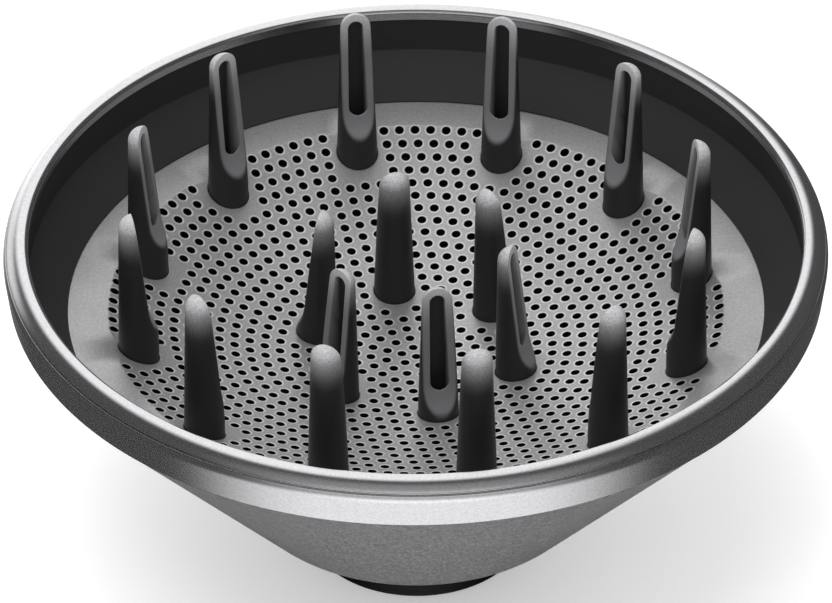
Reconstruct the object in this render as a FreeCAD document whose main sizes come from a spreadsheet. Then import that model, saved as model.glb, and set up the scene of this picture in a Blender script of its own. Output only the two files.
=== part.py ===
import FreeCAD, Part
import math
import os
import Sketcher

V = FreeCAD.Vector

# A push-on diffuser for a hair dryer, seen as it stands on its collar: +Z up, the origin at the middle
# of the collar's lower end, the axis of the bowl along Z. One prong of the outer ring stands on +X.
SIZES = [
    # rim and outer bowl
    ("rim_radius", 69.0, "widest radius of the rounded rim"),
    ("bead_radius", 3.5, "radius of the round along the rim's top"),
    ("seam_drop", 1.9, "from the rim's top down to the seam under the lip ring"),
    ("lip_inner_round", 0.8, "small round on the lip's inner edge"),
    ("lip_overhang", 0.2, "how far the lip stands inside the liner wall"),
    ("band_height", 6.5, "from the band's lower edge up to the seam"),
    ("band_taper", 0.8, "how much narrower the band is at its lower edge"),
    ("band_wall", 0.9, "band thickness at its lower edge"),
    ("bowl_step", 0.3, "step from the band in to the bowl"),
    ("rebate_wall", 1.2, "bowl's thinned upper edge, behind the band"),
    ("rebate_height", 3.5, "height of that thinned edge"),
    ("bowl_depth", 42.6, "from the bowl's underside up to the band"),
    ("bowl_foot_radius", 29.5, "radius of the bowl's flat underside"),
    ("bowl_foot_round", 3.0, "round where the cone meets the underside"),
    ("bowl_wall", 1.8, "bowl wall, measured level"),
    ("bowl_floor", 2.5, "bowl floor thickness"),
    # liner
    ("liner_wall", 1.2, "liner thickness, measured level"),
    ("liner_height", 6.3, "upright part of the liner, from the seam down"),
    ("liner_run", 6.9, "how far the liner's cone comes in"),
    ("liner_rise", 6.4, "height of the liner's cone"),
    # perforated plate
    ("plate_sheet", 1.0, "plate thickness"),
    ("plate_flange", 6.45, "flat margin between the liner and the dished part"),
    ("plate_tuck", 1.0, "how far the plate goes under the liner"),
    ("dish_sphere", 133.0, "radius of the dished part's sphere"),
    ("hole_radius", 0.725, "air hole radius"),
    ("hole_pitch", 2.54, "distance between neighbouring rings of holes"),
    ("hole_keep_off", 1.7, "least distance from a prong's foot to a hole's middle"),
    # prongs
    ("outer_inset", 4.2, "from the dished part's edge in to the outer ring of prongs"),
    ("inner_ring", 17.5, "radius of the inner ring of prongs"),
    ("foot_radius", 3.4, "prong radius at its foot"),
    ("tip_radius", 2.6, "prong radius at its rounded tip"),
    ("outer_tall", 28.2, "outer prong's height over the plate"),
    ("inner_tall", 25.2, "inner prong's height over the plate"),
    ("face_length", 15.6, "flat cut face, from the tip's middle down"),
    ("tip_back", 0.45, "how far the tip stands back from over the foot"),
    ("face_lean", 6.5, "lean of the cut face in degrees"),
    ("runout_radius", 12.0, "radius of the run-out under the cut face"),
    ("slot_top_gap", 1.4, "from the prong's tip down to its slot"),
    ("slot_length", 18.0, "length of the slot"),
    ("slot_top_width", 2.6, "slot width at its top"),
    ("slot_foot_width", 3.2, "slot width at its foot"),
    ("prong_back_wall", 1.6, "wall behind the slot"),
    ("prong_bore", 1.5, "radius of the air bore up through the foot"),
    ("prong_neck", 2.1, "straight part of a prong over the plate"),
    ("prong_flange_reach", 0.8, "how far the flange under the plate stands out from the foot"),
    ("prong_flange", 1.2, "thickness of that flange"),
    ("prong_clearance", 0.1, "gap between a prong's foot and its hole in the plate"),
    # retainer under the plate
    ("retainer_sheet", 1.4, "thickness of the retainer's dished rings and spokes"),
    ("retainer_band", 4.2, "half the width of each ring of the retainer"),
    ("retainer_spoke", 5.0, "width of a spoke"),
    ("retainer_rim_gap", 0.35, "from the dished part's edge out to the retainer's rim"),
    ("retainer_bore_gap", 0.3, "how much wider the retainer's air holes are than a prong's bore"),
    ("retainer_rim_wall", 1.3, "thickness of the retainer's upright rim"),
    ("retainer_rim_height", 5.0, "height of that rim"),
    # funnel
    ("funnel_wall", 1.2, "thickness of the funnel's upright wall"),
    ("funnel_cone_wall", 2.0, "funnel cone wall, measured level"),
    ("funnel_ledge", 1.2, "thickness of the ledge that carries the plate"),
    ("funnel_ledge_reach", 3.7, "how far the ledge stands out from the wall"),
    ("funnel_seat", 1.4, "width of the step that carries the retainer"),
    ("funnel_foot", 2.5, "thickness of the funnel's foot flange"),
    ("funnel_heel", 3.0, "extra thickness where the cone meets the foot flange"),
    ("fit_clearance", 0.1, "gap between the retainer and the funnel"),
    # collar
    ("collar_radius", 18.2, "outer radius of the collar"),
    ("collar_wall", 2.3, "wall of the socket for the dryer's outlet"),
    ("collar_drop", 11.1, "how far the collar stands out under the bowl"),
    ("socket_depth", 11.0, "depth of the socket to the gasket"),
    ("gasket_thickness", 1.2, "gasket thickness"),
    ("gasket_width", 2.0, "how far the gasket stands in from the socket's wall"),
    ("gasket_groove", 0.5, "depth of the groove that holds the gasket"),
    ("gasket_play", 0.1, "gap between the groove's lower side and the gasket"),
    ("collar_flange_margin", 3.7, "from the screw circle out to the edge of the collar's flange"),
    ("collar_flange", 1.5, "thickness of that flange"),
    ("collar_round", 0.6, "round on the collar's lower edge"),
    # screws
    ("screw_count", 4, "screws that hold bowl, collar and funnel together"),
    ("screw_offset", 4.1, "from the collar's outside out to the screws' middles"),
    ("screw_head_radius", 2.1, "screw head radius"),
    ("screw_head", 1.2, "screw head height"),
    ("screw_sink", 1.4, "depth of the recess for the head"),
    ("screw_shank", 1.1, "screw shank radius"),
    ("screw_length", 7.5, "screw shank length"),
    ("screw_clearance", 0.2, "gap round the screw in bowl and collar"),
    ("boss_radius", 2.6, "radius of the funnel's screw bosses"),
    ("boss_height", 3.2, "height of the bosses over the foot flange"),
    ("boss_root", 0.5, "how far a boss goes down into the flange"),
    ("through_cut", 1.0, "how far a hole's cut runs on past the wall"),
    # deflector
    ("deflector_radius", 9.0, "radius of the deflector's cone at its top"),
    ("deflector_height", 10.5, "height of the cone"),
    ("deflector_nose", 1.5, "radius of the cone's blunt lower end"),
    ("deflector_ring", 1.8, "thickness of the ring that the deflector stands on"),
    ("deflector_ring_height", 2.4, "height of that ring"),
    ("deflector_rib", 1.6, "thickness of the ribs"),
]

OUTER_PRONGS = 12
INNER_PRONGS = 6
DEFLECTOR_RIBS = 3
RAYS = 6
RAY_TURN = 30.0     # degrees from +X to the first ray of holes, the first inner prong and a spoke

doc = FreeCAD.newDocument("dryer_diffuser")
sheet = doc.addObject("Spreadsheet::Sheet", "sizes")
for row, (word, value, note) in enumerate(SIZES, start=1):
    sheet.set("A%d" % row, word)
    sheet.set("B%d" % row, str(value))
    sheet.set("C%d" % row, note)
    sheet.setAlias("B%d" % row, word)
doc.recompute()


def size(word):
    """A driving dimension's number, as the sheet holds it."""
    return float(sheet.get(word))


# Heights and radii that several pieces share, as formulas on the sheet's words.
FLOOR = "sizes.collar_drop"
FLOOR_TOP = FLOOR + " + sizes.bowl_floor"
FUNNEL_BASE = FLOOR_TOP + " + sizes.collar_flange"
BAND_FOOT = FLOOR + " + sizes.bowl_depth"
SEAM = BAND_FOOT + " + sizes.band_height"
LIP_TOP = SEAM + " + sizes.seam_drop"
CROWN_RADIUS = "sizes.rim_radius - sizes.bead_radius"
SEAM_RADIUS = (CROWN_RADIUS + " + sqrt(sizes.bead_radius ^ 2"
               " - (sizes.bead_radius - sizes.seam_drop) ^ 2)")
BAND_FOOT_RADIUS = "sizes.rim_radius - sizes.band_taper"
REBATE_RADIUS = BAND_FOOT_RADIUS + " - sizes.band_wall"
LINER_OUTSIDE = REBATE_RADIUS + " - sizes.rebate_wall"
LINER_RADIUS = LINER_OUTSIDE + " - sizes.liner_wall"
CREASE = SEAM + " - sizes.liner_height"
PLATE_TOP = CREASE + " - sizes.liner_rise"
PLATE_UNDER = PLATE_TOP + " - sizes.plate_sheet"
PLATE_EDGE = LINER_RADIUS + " - sizes.liner_run"
RIM_INSIDE = PLATE_EDGE + " - sizes.plate_flange + sizes.retainer_rim_gap"
FUNNEL_INSIDE = RIM_INSIDE + " + sizes.retainer_rim_wall + sizes.fit_clearance"
RETAINER_FOOT = PLATE_UNDER + " - sizes.retainer_rim_height"
COLLAR_BORE = "sizes.collar_radius - sizes.collar_wall"
THROAT = COLLAR_BORE + " + sizes.fit_clearance"
SCREW_CIRCLE = "sizes.collar_radius + sizes.screw_offset"
COLLAR_FLANGE_RADIUS = SCREW_CIRCLE + " + sizes.collar_flange_margin"

# The same places as numbers, for the pieces that are made with Part's own functions.
rebate_radius = size("rim_radius") - size("band_taper") - size("band_wall")
liner_radius = rebate_radius - size("rebate_wall") - size("liner_wall")
plate_edge = liner_radius - size("liner_run")
dish_radius = plate_edge - size("plate_flange")
seam_height = size("collar_drop") + size("bowl_depth") + size("band_height")
plate_top = seam_height - size("liner_height") - size("liner_rise")
plate_under = plate_top - size("plate_sheet")
dish_sphere = size("dish_sphere")
sphere_height = plate_top + math.sqrt(dish_sphere ** 2 - dish_radius ** 2)
sphere_middle = V(0, 0, sphere_height)
outer_ring = dish_radius - size("outer_inset")
inner_ring = size("inner_ring")
screw_circle = size("collar_radius") + size("screw_offset")


def origin_plane(body, role):
    """The body's own origin plane or axis with the given role."""
    for feature in body.Origin.OriginFeatures:
        if feature.Role == role:
            return feature
    raise ValueError("no origin feature with the role " + role)


def arc_through(start, end, radius, side):
    """Arc from start to end of the given radius; side is +1 or -1 for the way that it bulges."""
    chord = end - start
    middle = (start + end) * 0.5
    across = V(chord.y, -chord.x, 0).normalize()
    half = chord.Length / 2
    rise = radius - math.sqrt(radius ** 2 - half ** 2)
    return Part.Arc(start, middle + across * (rise * side), end)


def outline(body, name, corners, arcs):
    """Closed sketch on the XZ plane; corners are (radius, height) formulas, arcs {side: (word, way)}."""
    sketch = body.newObject("Sketcher::SketchObject", name)
    sketch.AttachmentSupport = [(origin_plane(body, "XZ_Plane"), "")]
    sketch.MapMode = "FlatFace"
    for number, formulas in enumerate(corners):
        sketch.addGeometry(Part.Point(V(10 + number, 10 + 2 * number, 0)), True)
        for kind, formula in zip(("DistanceX", "DistanceY"), formulas):
            index = sketch.addConstraint(Sketcher.Constraint(kind, -1, 1, number, 1, 10.0))
            sketch.setExpression("Constraints[%d]" % index, formula)
    doc.recompute()
    places = [V(sketch.Geometry[n].X, sketch.Geometry[n].Y, 0) for n in range(len(corners))]
    for number, start in enumerate(places):
        following = (number + 1) % len(places)
        end = places[following]
        if number in arcs:
            word, way = arcs[number]
            index = sketch.addGeometry(arc_through(start, end, size(word), way), False)
            made = sketch.Geometry[index]
            forward = (made.StartPoint - start).Length < (made.EndPoint - start).Length
            first, last = (1, 2) if forward else (2, 1)
        else:
            index = sketch.addGeometry(Part.LineSegment(start, end), False)
            first, last = 1, 2
        sketch.addConstraint(Sketcher.Constraint("Coincident", index, first, number, 1))
        sketch.addConstraint(Sketcher.Constraint("Coincident", index, last, following, 1))
        if number in arcs:
            rule = sketch.addConstraint(Sketcher.Constraint("Radius", index, size(word)))
            sketch.setExpression("Constraints[%d]" % rule, "sizes." + word)
    doc.recompute()
    return sketch


def turned(label, corners, arcs=None):
    """A body turned round Z from a closed outline."""
    body = doc.addObject("PartDesign::Body", label)
    body.Label = label
    sketch = outline(body, label + "_outline", corners, arcs or {})
    turn = body.newObject("PartDesign::Revolution", label + "_turn")
    turn.Profile = sketch
    turn.ReferenceAxis = (sketch, ["V_Axis"])
    turn.Angle = 360
    sketch.Visibility = False
    doc.recompute()
    return body


def rounded(body, name, radius_word, distance, height):
    """Round the circular edges of the body's last feature that lie at the given radius and height."""
    base = body.Tip
    chosen = []
    for number, edge in enumerate(base.Shape.Edges, start=1):
        if not isinstance(edge.Curve, Part.Circle):
            continue
        same_radius = abs(edge.Curve.Radius - distance) < 0.01
        if same_radius and abs(edge.Curve.Center.z - height) < 0.01:
            chosen.append("Edge%d" % number)
    fillet = body.newObject("PartDesign::Fillet", name)
    fillet.Base = (base, chosen)
    fillet.setExpression("Radius", "sizes." + radius_word)
    doc.recompute()
    return fillet


def circle_sketch(body, name, radius, distance, height):
    """Sketch of one circle on a level plane at the given height, on the +X side of the axis."""
    sketch = body.newObject("Sketcher::SketchObject", name)
    sketch.AttachmentSupport = [(origin_plane(body, "XY_Plane"), "")]
    sketch.MapMode = "FlatFace"
    sketch.setExpression(".AttachmentOffset.Base.z", height)
    sketch.addGeometry(Part.Circle(V(20, 0, 0), V(0, 0, 1), 1.0), False)
    rule = sketch.addConstraint(Sketcher.Constraint("Radius", 0, 1.0))
    sketch.setExpression("Constraints[%d]" % rule, radius)
    rule = sketch.addConstraint(Sketcher.Constraint("DistanceX", -1, 1, 0, 3, 20.0))
    sketch.setExpression("Constraints[%d]" % rule, distance)
    sketch.addConstraint(Sketcher.Constraint("PointOnObject", 0, 3, -1))
    sketch.Visibility = False
    return sketch


def repeated(body, feature, sketch, count):
    """The feature turned round Z, count times in all."""
    pattern = body.newObject("PartDesign::PolarPattern", feature.Name + "_pattern")
    pattern.Originals = [feature]
    pattern.Axis = (sketch, ["N_Axis"])
    pattern.Angle = 360
    pattern.setExpression("Occurrences", count)
    body.Tip = pattern
    doc.recompute()
    return pattern


def bored(body, name, radius, distance, height, depth, count):
    """Round pockets cut upwards from the given height, repeated round Z."""
    before = body.Tip.Shape.Volume
    sketch = circle_sketch(body, name + "_circle", radius, distance, height)
    pocket = body.newObject("PartDesign::Pocket", name)
    pocket.Profile = sketch
    pocket.setExpression("Length", depth)
    pocket.Reversed = True
    doc.recompute()
    pattern = repeated(body, pocket, sketch, count)
    if not pattern.Shape.Volume < before - 0.1:
        raise ValueError(name + " cut nothing")
    return pattern


def bossed(body, name, radius, distance, height, rise, count):
    """Round bosses raised from the given height, repeated round Z."""
    sketch = circle_sketch(body, name + "_circle", radius, distance, height)
    pad = body.newObject("PartDesign::Pad", name)
    pad.Profile = sketch
    pad.setExpression("Length", rise)
    doc.recompute()
    return repeated(body, pad, sketch, count)


def made(label, shape, placement=None):
    """A sub-part whose shape comes from Part's own functions."""
    feature = doc.addObject("Part::Feature", label)
    feature.Label = label
    feature.Shape = shape
    if placement is not None:
        feature.Placement = placement
    return feature


# Outer bowl: the cone that shows from outside, with a flat floor and a thinned upper edge that the
# band slides over. The floor has a round hole for the collar and sunk holes for the screws.
def make_outer_bowl():
    lean = "(%s - sizes.bowl_step - sizes.bowl_foot_radius) / sizes.bowl_depth" % BAND_FOOT_RADIUS
    inner_foot = "sizes.bowl_foot_radius + sizes.bowl_floor * %s - sizes.bowl_wall" % lean
    body = turned("outer_bowl", [
        ("sizes.collar_radius", FLOOR),
        ("sizes.bowl_foot_radius", FLOOR),
        (BAND_FOOT_RADIUS + " - sizes.bowl_step", BAND_FOOT),
        (REBATE_RADIUS, BAND_FOOT),
        (REBATE_RADIUS, BAND_FOOT + " + sizes.rebate_height"),
        (LINER_OUTSIDE, BAND_FOOT + " + sizes.rebate_height"),
        (LINER_OUTSIDE, BAND_FOOT),
        (inner_foot, FLOOR_TOP),
        ("sizes.collar_radius", FLOOR_TOP)])
    rounded(body, "bowl_foot_fillet", "bowl_foot_round", size("bowl_foot_radius"), size("collar_drop"))
    bored(body, "screw_recess", "sizes.screw_head_radius + sizes.screw_clearance", SCREW_CIRCLE,
          FLOOR, "sizes.screw_sink", "sizes.screw_count")
    bored(body, "screw_passage", "sizes.screw_shank + sizes.screw_clearance", SCREW_CIRCLE,
          FLOOR, "sizes.bowl_floor + sizes.through_cut", "sizes.screw_count")
    return body


# Rim band: the bright upright band under the rim, which covers the bowl's thinned edge. Its top is
# the lower half of the rim's round.
def make_rim_band():
    return turned("rim_band", [
        (REBATE_RADIUS, BAND_FOOT),
        (BAND_FOOT_RADIUS, BAND_FOOT),
        ("sizes.rim_radius", LIP_TOP + " - sizes.bead_radius"),
        (SEAM_RADIUS, SEAM),
        (REBATE_RADIUS, SEAM)], {2: ("bead_radius", 1)})


# Lip ring: the rounded top of the rim, with a tongue pressed between the band and the liner.
def make_lip_ring():
    lip_inside = LINER_RADIUS + " - sizes.lip_overhang"
    return turned("lip_ring", [
        (lip_inside, SEAM),
        (LINER_OUTSIDE, SEAM),
        (LINER_OUTSIDE, BAND_FOOT + " + sizes.rebate_height"),
        (REBATE_RADIUS, BAND_FOOT + " + sizes.rebate_height"),
        (REBATE_RADIUS, SEAM),
        (SEAM_RADIUS, SEAM),
        (CROWN_RADIUS, LIP_TOP),
        (lip_inside + " + sizes.lip_inner_round", LIP_TOP),
        (lip_inside, LIP_TOP + " - sizes.lip_inner_round")],
        {5: ("bead_radius", 1), 7: ("lip_inner_round", 1)})


# Liner: the dark inner wall of the bowl, upright at the top and a cone below, which holds the plate
# down along its edge.
def make_liner():
    return turned("liner", [
        (PLATE_EDGE, PLATE_TOP),
        (PLATE_EDGE + " + sizes.liner_wall", PLATE_TOP),
        (LINER_OUTSIDE, CREASE),
        (LINER_OUTSIDE, SEAM),
        (LINER_RADIUS, SEAM),
        (LINER_RADIUS, CREASE)])


# Funnel: leads the air from the collar out to the plate. A ledge at its top carries the plate, a step
# inside carries the retainer, and bosses on its foot take the screws.
def make_funnel():
    cone_top = FUNNEL_INSIDE + " - sizes.funnel_seat"
    outside = FUNNEL_INSIDE + " + sizes.funnel_wall"
    body = turned("funnel", [
        (THROAT, FUNNEL_BASE),
        (COLLAR_FLANGE_RADIUS, FUNNEL_BASE),
        (COLLAR_FLANGE_RADIUS, FUNNEL_BASE + " + sizes.funnel_foot"),
        (THROAT + " + sizes.funnel_cone_wall + sizes.funnel_heel", FUNNEL_BASE + " + sizes.funnel_foot"),
        (outside, RETAINER_FOOT),
        (outside, PLATE_UNDER + " - sizes.funnel_ledge"),
        (outside + " + sizes.funnel_ledge_reach", PLATE_UNDER + " - sizes.funnel_ledge"),
        (outside + " + sizes.funnel_ledge_reach", PLATE_UNDER),
        (FUNNEL_INSIDE, PLATE_UNDER),
        (FUNNEL_INSIDE, RETAINER_FOOT),
        (cone_top, RETAINER_FOOT)])
    bossed(body, "screw_boss", "sizes.boss_radius", SCREW_CIRCLE,
           FUNNEL_BASE + " + sizes.funnel_foot - sizes.boss_root",
           "sizes.boss_height + sizes.boss_root", "sizes.screw_count")
    bored(body, "screw_pilot", "sizes.screw_shank", SCREW_CIRCLE, FUNNEL_BASE,
          "sizes.screw_sink + sizes.screw_length - sizes.bowl_floor - sizes.collar_flange",
          "sizes.screw_count")
    return body


# Collar: the black tube that pushes onto the dryer. Its flange lies on the bowl's floor under the
# funnel, and a groove at the end of its bore holds the gasket.
def make_collar():
    shoulder = "sizes.socket_depth + sizes.gasket_play + sizes.gasket_thickness"
    inside = COLLAR_BORE + " - sizes.gasket_width"
    groove = COLLAR_BORE + " + sizes.gasket_groove"
    body = turned("collar", [
        (COLLAR_BORE, "0"),
        ("sizes.collar_radius", "0"),
        ("sizes.collar_radius", FLOOR_TOP),
        (COLLAR_FLANGE_RADIUS, FLOOR_TOP),
        (COLLAR_FLANGE_RADIUS, FUNNEL_BASE),
        (inside, FUNNEL_BASE),
        (inside, shoulder),
        (groove, shoulder),
        (groove, "sizes.socket_depth"),
        (COLLAR_BORE, "sizes.socket_depth")])
    rounded(body, "collar_edge_fillet", "collar_round", size("collar_radius"), 0)
    bored(body, "collar_passage", "sizes.screw_shank + sizes.screw_clearance", SCREW_CIRCLE,
          FLOOR_TOP, "sizes.collar_flange + sizes.through_cut", "sizes.screw_count")
    return body


# Gasket: flat silicone ring in the groove at the socket's end, which the dryer's outlet presses on.
def make_gasket():
    ring = doc.addObject("Part::Cut", "outlet_gasket")
    ring.Label = "outlet_gasket"
    for role, name, radius in (("Base", "gasket_disc", COLLAR_BORE + " + sizes.gasket_groove"),
                               ("Tool", "gasket_hole", COLLAR_BORE + " - sizes.gasket_width")):
        disc = doc.addObject("Part::Cylinder", name)
        disc.setExpression("Radius", radius)
        disc.setExpression("Height", "sizes.gasket_thickness")
        disc.setExpression(".Placement.Base.z", "sizes.socket_depth + sizes.gasket_play")
        setattr(ring, role, disc)
    return ring


# Deflector: a blunt cone over the throat on three ribs, which spreads the air before the plate.
def make_deflector():
    ring_outer = doc.addObject("Part::Cylinder", "deflector_ring_outside")
    ring_outer.setExpression("Radius", COLLAR_BORE)
    ring_inner = doc.addObject("Part::Cylinder", "deflector_ring_inside")
    ring_inner.setExpression("Radius", COLLAR_BORE + " - sizes.deflector_ring")
    for cylinder in (ring_outer, ring_inner):
        cylinder.setExpression("Height", "sizes.deflector_ring_height")
        cylinder.setExpression(".Placement.Base.z", FUNNEL_BASE)
    ring = doc.addObject("Part::Cut", "deflector_ring_cut")
    ring.Base = ring_outer
    ring.Tool = ring_inner
    cone = doc.addObject("Part::Cone", "deflector_cone")
    cone.setExpression("Radius1", "sizes.deflector_nose")
    cone.setExpression("Radius2", "sizes.deflector_radius")
    cone.setExpression("Height", "sizes.deflector_height")
    cone.setExpression(".Placement.Base.z", FUNNEL_BASE)
    pieces = [ring, cone]
    half = size("deflector_rib") / 2
    foot = size("collar_drop") + size("bowl_floor") + size("collar_flange")
    for number in range(DEFLECTOR_RIBS):
        rib = doc.addObject("Part::Box", "deflector_rib_%d" % (number + 1))
        rib.setExpression("Length", COLLAR_BORE + " - sizes.deflector_ring / 2")
        rib.setExpression("Width", "sizes.deflector_rib")
        rib.setExpression("Height", "sizes.deflector_ring_height")
        turn = FreeCAD.Rotation(V(0, 0, 1), 360.0 * (number + 0.5) / DEFLECTOR_RIBS)
        rib.Placement = FreeCAD.Placement(turn.multVec(V(0, -half, 0)) + V(0, 0, foot), turn)
        pieces.append(rib)
    whole = doc.addObject("Part::MultiFuse", "flow_deflector")
    whole.Label = "flow_deflector"
    whole.Shapes = pieces
    whole.Refine = True
    return whole


def prong_places():
    """(radius, angle in degrees) of every prong, the outer ring first."""
    outer = [(outer_ring, 360.0 * n / OUTER_PRONGS) for n in range(OUTER_PRONGS)]
    inner = [(inner_ring, RAY_TURN + 360.0 * n / INNER_PRONGS) for n in range(INNER_PRONGS)]
    return outer + inner


def dish_height(radius):
    """Height of the dished part's upper side at a radius."""
    return sphere_height - math.sqrt(dish_sphere ** 2 - radius ** 2)


def at(radius, angle, height):
    """Point at a radius, an angle in degrees and a height."""
    turn = math.radians(angle)
    return V(radius * math.cos(turn), radius * math.sin(turn), height)


# Perforated plate: metal sheet punched with rings of holes, six more in each ring than in the last,
# then dished to a sphere, with a flat margin. The holes leave room round each prong.
def make_plate():
    sheet_depth = size("plate_sheet")
    outside = plate_edge + size("plate_tuck")
    flange = Part.makeCylinder(outside, sheet_depth, V(0, 0, plate_under))
    flange = flange.cut(Part.makeCylinder(dish_radius, sheet_depth, V(0, 0, plate_under)))
    ball = Part.makeSphere(dish_sphere + sheet_depth, sphere_middle)
    ball = ball.cut(Part.makeSphere(dish_sphere, sphere_middle))
    dish = ball.common(Part.makeCylinder(dish_radius, dish_sphere, V(0, 0, 0)))
    blank = dish.fuse(flange).removeSplitter()
    feet = [at(radius, angle, 0) for radius, angle in prong_places()]
    keep_off = size("foot_radius") + size("hole_keep_off")
    rings = int((dish_radius - size("hole_radius")) / size("hole_pitch"))
    holes = []
    for ring in range(rings + 1):
        count = max(1, RAYS * ring)
        for number in range(count):
            spot = at(size("hole_pitch") * ring, RAY_TURN + 360.0 * number / count, 0)
            if min((spot - foot).Length for foot in feet) < keep_off:
                continue
            surface = V(spot.x, spot.y, dish_height(spot.Length))
            inward = (sphere_middle - surface).normalize()
            start = surface - inward * (2 * sheet_depth)
            holes.append(Part.makeCylinder(size("hole_radius"), 3 * sheet_depth, start, inward))
    stem = size("foot_radius") + size("prong_clearance")
    for foot in feet:
        holes.append(Part.makeCylinder(stem, 2 * plate_top, foot))
    return made("perforated_plate", blank.cut(holes))


def make_prong_shape(ring_radius, tall, facing):
    """A prong about its own foot's middle on the plate, slot towards +X; facing +1 looks inward.

    The stem is a leaning cone with an upright back and a round tip. A leaning flat face with a
    run-out is cut on the slot's side, the slot goes in from that face to the air bore, and the
    flange below follows the plate's underside."""
    foot = size("foot_radius")
    tip = size("tip_radius")
    drop = math.sqrt(dish_sphere ** 2 - ring_radius ** 2)
    middle = V(ring_radius * facing, 0, drop)
    under = dish_sphere + size("plate_sheet")
    flange_under = under + size("prong_flange")
    neck = size("prong_neck")
    top = V(-size("tip_back"), 0, tall - tip)
    low = Part.Wire(Part.Circle(V(0, 0, neck), V(0, 0, 1), foot).toShape())
    high = Part.Wire(Part.Circle(top, V(0, 0, 1), tip).toShape())
    stem = Part.makeLoft([low, high], True, True)
    stem = stem.fuse([Part.makeCylinder(foot, neck + tall / 2, V(0, 0, -tall / 2)),
                      Part.makeSphere(tip, top)])
    stem = stem.common(Part.makeSphere(flange_under, middle))
    flange = Part.makeCylinder(foot + size("prong_flange_reach"), tall, V(0, 0, -tall / 2))
    flange = flange.common(Part.makeSphere(flange_under, middle))
    flange = flange.cut(Part.makeSphere(under, middle))
    whole = stem.fuse(flange)

    lean = math.radians(size("face_lean"))
    along = V(-math.sin(lean), 0, math.cos(lean))
    outward = V(math.cos(lean), 0, math.sin(lean))
    start = top - along * size("face_length")
    end = top + along * (3 * tip)
    runout = size("runout_radius")
    centre = start + outward * runout
    clear = 1.5 * foot      # a place past the foot's outside, where the cutting face ends
    low_angle = math.acos((centre.x - clear) / runout)
    low_point = V(clear, 0, centre.z - runout * math.sin(low_angle))
    half_angle = (low_angle - lean) / 2 + lean
    half_point = centre - V(math.cos(half_angle), 0, math.sin(half_angle)) * runout
    edges = [Part.Arc(low_point, half_point, start).toShape(),
             Part.LineSegment(start, end).toShape(),
             Part.LineSegment(end, V(clear, 0, end.z)).toShape(),
             Part.LineSegment(V(clear, 0, end.z), low_point).toShape()]
    face = Part.Face(Part.Wire(edges))
    face.translate(V(0, -2 * foot, 0))
    whole = whole.cut(face.extrude(V(0, 4 * foot, 0)))

    top_half = size("slot_top_width") / 2
    foot_half = size("slot_foot_width") / 2
    back = size("prong_back_wall") - foot
    slot_top = tall - size("slot_top_gap") - top_half
    slot_foot = tall - size("slot_top_gap") - size("slot_length") + foot_half
    edges = [Part.Arc(V(back, top_half, slot_top), V(back, 0, slot_top + top_half),
                      V(back, -top_half, slot_top)).toShape(),
             Part.LineSegment(V(back, -top_half, slot_top), V(back, -foot_half, slot_foot)).toShape(),
             Part.Arc(V(back, -foot_half, slot_foot), V(back, 0, slot_foot - foot_half),
                      V(back, foot_half, slot_foot)).toShape(),
             Part.LineSegment(V(back, foot_half, slot_foot), V(back, top_half, slot_top)).toShape()]
    slot = Part.Face(Part.Wire(edges)).extrude(V(3 * foot, 0, 0))
    bore = Part.makeCylinder(size("prong_bore"), tall / 2 + slot_foot, V(0, 0, -tall / 2))
    return whole.cut([slot, bore]).removeSplitter()


# Prongs: hollow fingers pushed up through the plate from below. The outer ring's slots face the
# middle, and the inner ring's slots face out.
def make_prongs():
    outer = make_prong_shape(outer_ring, size("outer_tall"), 1)
    inner = make_prong_shape(inner_ring, size("inner_tall"), -1)
    prongs = []
    for number, (radius, angle) in enumerate(prong_places()):
        is_outer = number < OUTER_PRONGS
        if is_outer:
            label = "outer_prong_%02d" % (number + 1)
            turn = FreeCAD.Rotation(V(0, 0, 1), angle + 180.0)
        else:
            label = "inner_prong_%d" % (number + 1 - OUTER_PRONGS)
            turn = FreeCAD.Rotation(V(0, 0, 1), angle)
        place = FreeCAD.Placement(at(radius, angle, dish_height(radius)), turn)
        prongs.append(made(label, outer if is_outer else inner, place))
    return prongs


# Retainer: one dished moulding under the plate that clamps the prongs' flanges. Two rings joined by
# six spokes, with an air hole under each prong and an upright rim that stands on the funnel's step.
def make_retainer():
    upper = dish_sphere + size("plate_sheet") + size("prong_flange")
    lower = upper + size("retainer_sheet")
    band = size("retainer_band")
    rim_inside = dish_radius + size("retainer_rim_gap")
    rim_outside = rim_inside + size("retainer_rim_wall")
    rim_height = size("retainer_rim_height")
    ball = Part.makeSphere(lower, sphere_middle).cut(Part.makeSphere(upper, sphere_middle))
    tube = Part.makeCylinder(rim_inside + size("retainer_rim_wall") / 2, plate_top)
    tube = tube.cut(Part.makeCylinder(inner_ring - band, plate_top))
    rings = ball.common(tube)
    window = Part.makeCylinder(outer_ring - band, plate_top)
    window = window.cut(Part.makeCylinder(inner_ring + band, plate_top))
    width = size("retainer_spoke")
    for number in range(RAYS):
        spoke = Part.makeBox(outer_ring, width, plate_top, V(0, -width / 2, 0))
        spoke.rotate(V(0, 0, 0), V(0, 0, 1), RAY_TURN + 360.0 * number / RAYS)
        window = window.cut(spoke)
    rim = Part.makeCylinder(rim_outside, rim_height, V(0, 0, plate_under - rim_height))
    rim = rim.cut(Part.makeCylinder(rim_inside, rim_height, V(0, 0, plate_under - rim_height)))
    bore = size("prong_bore") + size("retainer_bore_gap")
    bores = [Part.makeCylinder(bore, plate_top, at(radius, angle, 0)) for radius, angle in prong_places()]
    return made("prong_retainer", rings.cut(window).fuse(rim).cut(bores).removeSplitter())


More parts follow.
